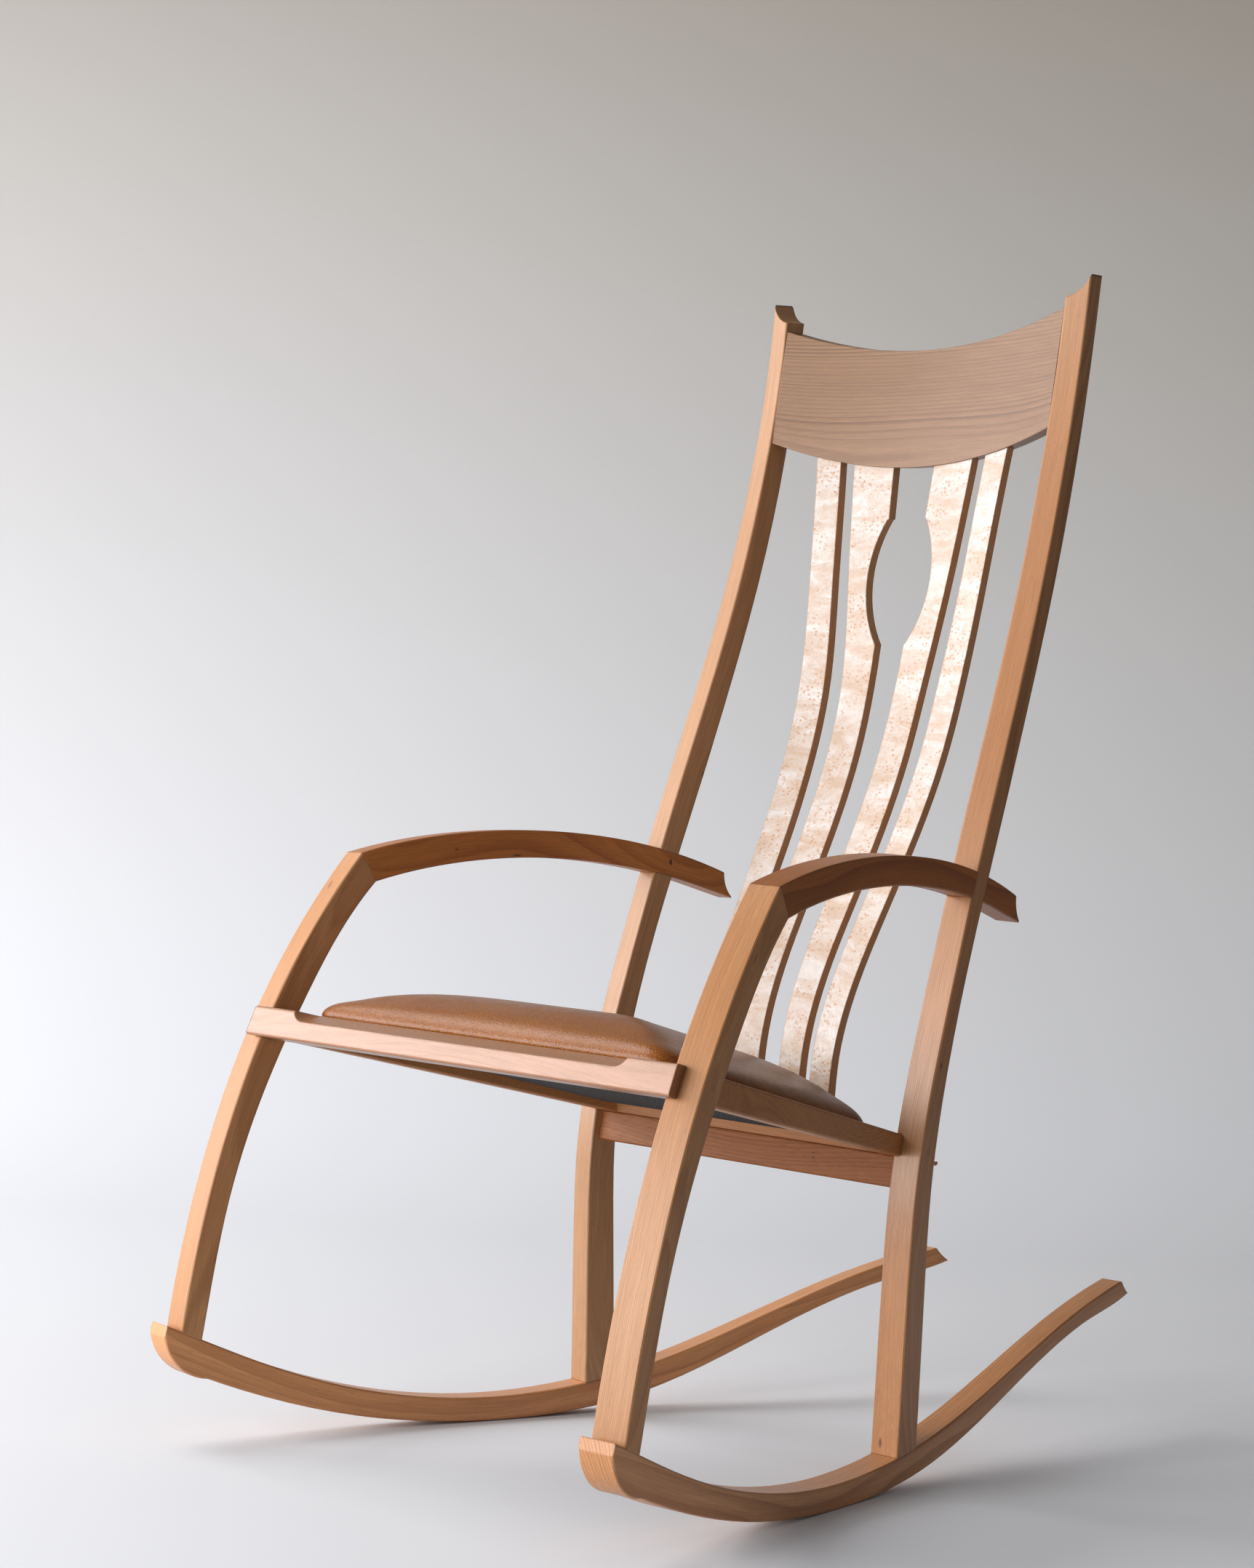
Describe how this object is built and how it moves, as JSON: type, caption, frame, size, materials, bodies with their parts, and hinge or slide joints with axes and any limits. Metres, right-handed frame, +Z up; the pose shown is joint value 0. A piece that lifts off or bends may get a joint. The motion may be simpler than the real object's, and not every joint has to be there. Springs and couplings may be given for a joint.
{
  "type": "rocking chair",
  "caption": "High-backed wooden rocking chair with toed-in curved side frames, curved arms, a domed leather seat and a slatted, bowed back.",
  "frame": {"origin": "middle of the bounding box at the floor", "axes": "+Z up, the chair faces -Y, +X to the sitter's left"},
  "size_m": [0.6364, 0.9086, 1.1477],
  "materials": {
    "cherry": "satin oil",
    "maple": "satin oil",
    "leather": "soft sheen, pebbled",
    "foam": "open-cell foam",
    "cloth": "woven",
    "plywood": "raw"
  },
  "bodies": {
    "root": {"rocker_left": "cherry", "rocker_right": "cherry", "front_leg_left": "cherry", "front_leg_right": "cherry", "rear_post_left": "cherry", "rear_post_right": "cherry", "arm_left": "cherry", "arm_right": "cherry", "side_rail_left": "cherry", "side_rail_right": "cherry", "seat_cleat_left": "cherry", "seat_cleat_right": "cherry", "leg_peg_left": "cherry", "leg_peg_right": "cherry", "post_peg_left": "cherry", "post_peg_right": "cherry", "arm_peg_left": "cherry", "arm_peg_right": "cherry", "mitre_dowel_left": "cherry", "mitre_dowel_right": "cherry", "front_rail": "cherry", "lower_rear_rail": "cherry", "slat_rail": "cherry", "crest_rail": "cherry", "slat_1": "maple", "slat_2": "maple", "slat_3": "maple", "slat_4": "maple", "seat_board": "plywood", "dust_cover": "cloth", "seat_cover": "leather", "seat_foam": "foam"}
  },
  "joints": []
}
